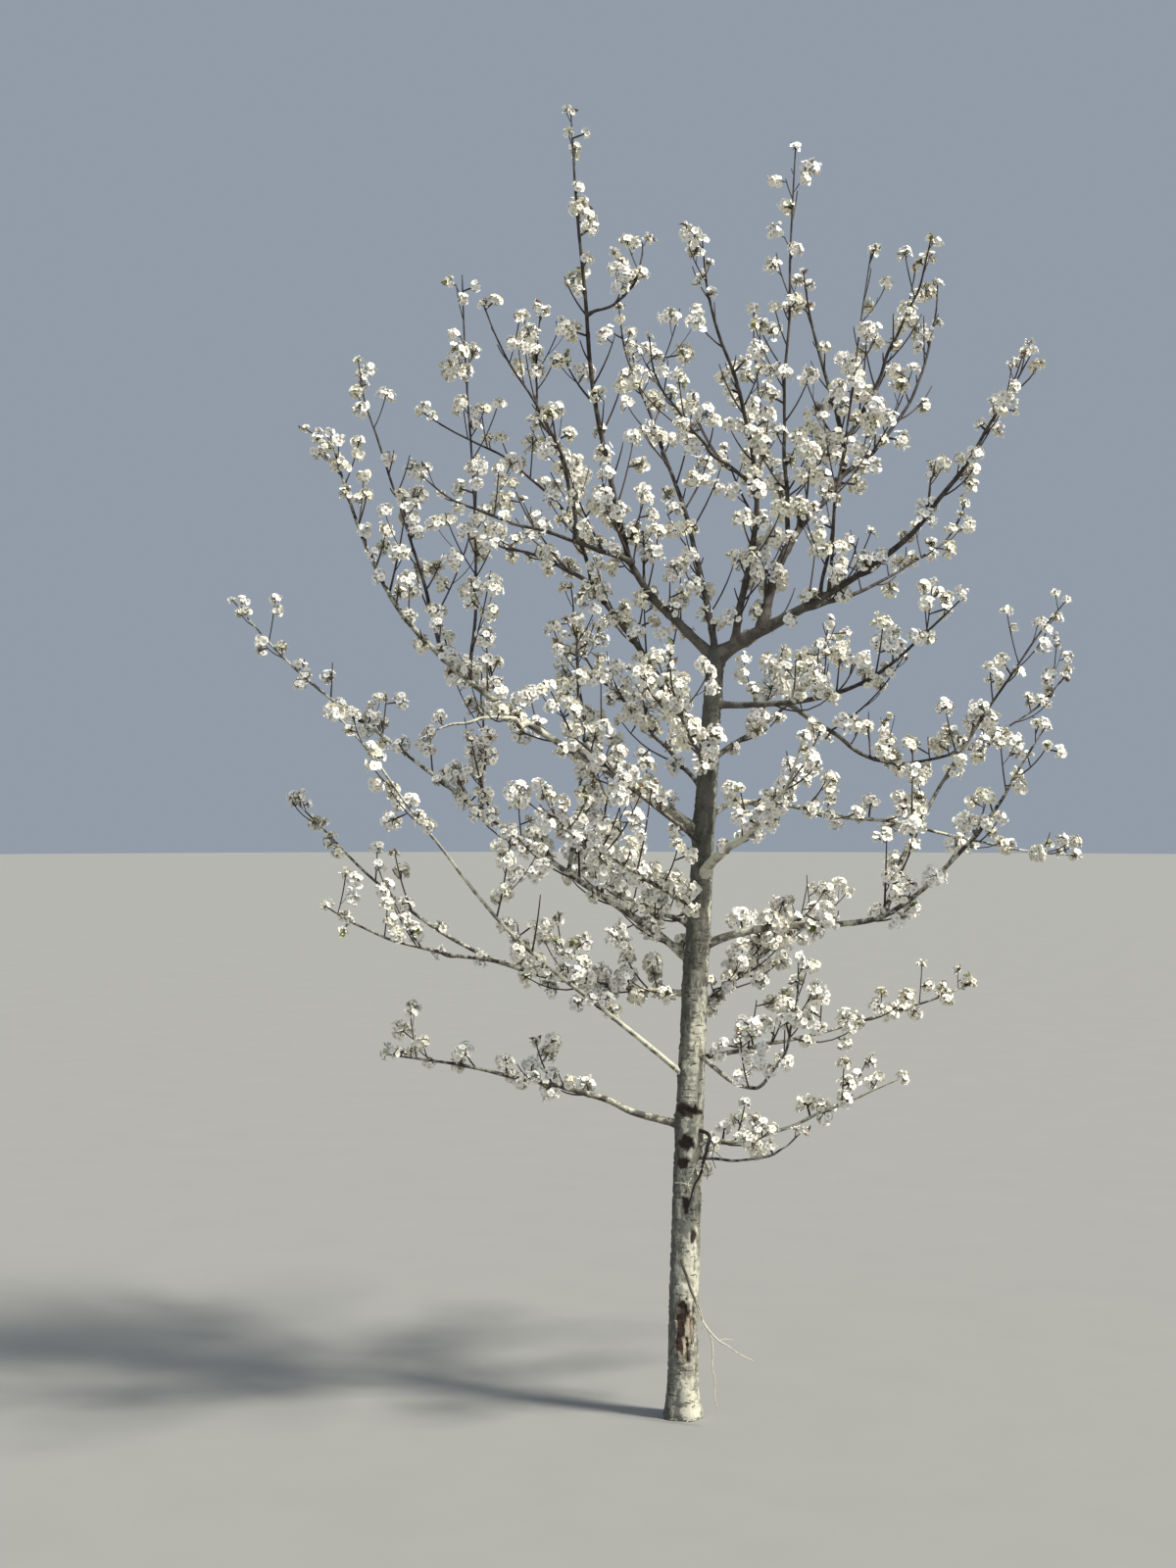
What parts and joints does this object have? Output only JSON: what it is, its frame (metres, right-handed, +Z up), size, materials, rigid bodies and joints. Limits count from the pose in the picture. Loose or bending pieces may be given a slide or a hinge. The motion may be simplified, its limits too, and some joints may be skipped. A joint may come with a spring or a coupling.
{
  "type": "callery pear tree",
  "caption": "Young callery pear tree in full white blossom before its leaves: slim grey trunk, upswept boughs and bare twigs set with flower clusters.",
  "frame": {"origin": "centre of the flat cut under the trunk, at ground level", "axes": "+Z up along the trunk, +X to the right in the picture's view, -Y towards its viewer"},
  "size_m": [2.8555, 2.1247, 3.9964],
  "materials": {
    "bark": "rough grey bark with pale patches, darker on the boughs",
    "blossom": "matt creamy white petals on dark twigs"
  },
  "bodies": {
    "root": {"trunk": "bark", "dead_shoot": "bark", "right_leader_bough": "bark", "right_leader_twigs": "blossom", "hook_leader_bough": "bark", "hook_leader_twigs": "blossom", "centre_leader_bough": "bark", "centre_leader_twigs": "blossom", "left_leader_bough": "bark", "left_leader_twigs": "blossom", "back_leader_bough": "bark", "back_leader_twigs": "blossom", "upper_left_bough": "bark", "upper_left_twigs": "blossom", "upper_right_bough": "bark", "upper_right_twigs": "blossom", "front_middle_bough": "bark", "front_middle_twigs": "blossom", "back_right_middle_bough": "bark", "back_right_middle_twigs": "blossom", "back_left_middle_bough": "bark", "back_left_middle_twigs": "blossom", "long_left_bough": "bark", "long_left_twigs": "blossom", "level_right_bough": "bark", "level_right_twigs": "blossom", "sunlit_left_bough": "bark", "sunlit_left_twigs": "blossom", "front_right_bough": "bark", "front_right_twigs": "blossom", "far_left_bough": "bark", "far_left_twigs": "blossom", "far_right_bough": "bark", "far_right_twigs": "blossom", "front_left_bough": "bark", "front_left_twigs": "blossom", "back_left_low_bough": "bark", "back_left_low_twigs": "blossom", "low_left_bough": "bark", "low_left_twigs": "blossom", "back_right_low_bough": "bark", "back_right_low_twigs": "blossom", "drooping_right_bough": "bark", "drooping_right_twigs": "blossom", "low_right_bough": "bark", "low_right_twigs": "blossom", "crossing_left_bough": "bark", "crossing_left_twigs": "blossom", "lowest_left_bough": "bark", "lowest_left_twigs": "blossom", "lowest_right_bough": "bark", "lowest_right_twigs": "blossom", "lowest_spur_bough": "bark", "lowest_spur_twigs": "blossom"}
  },
  "joints": []
}
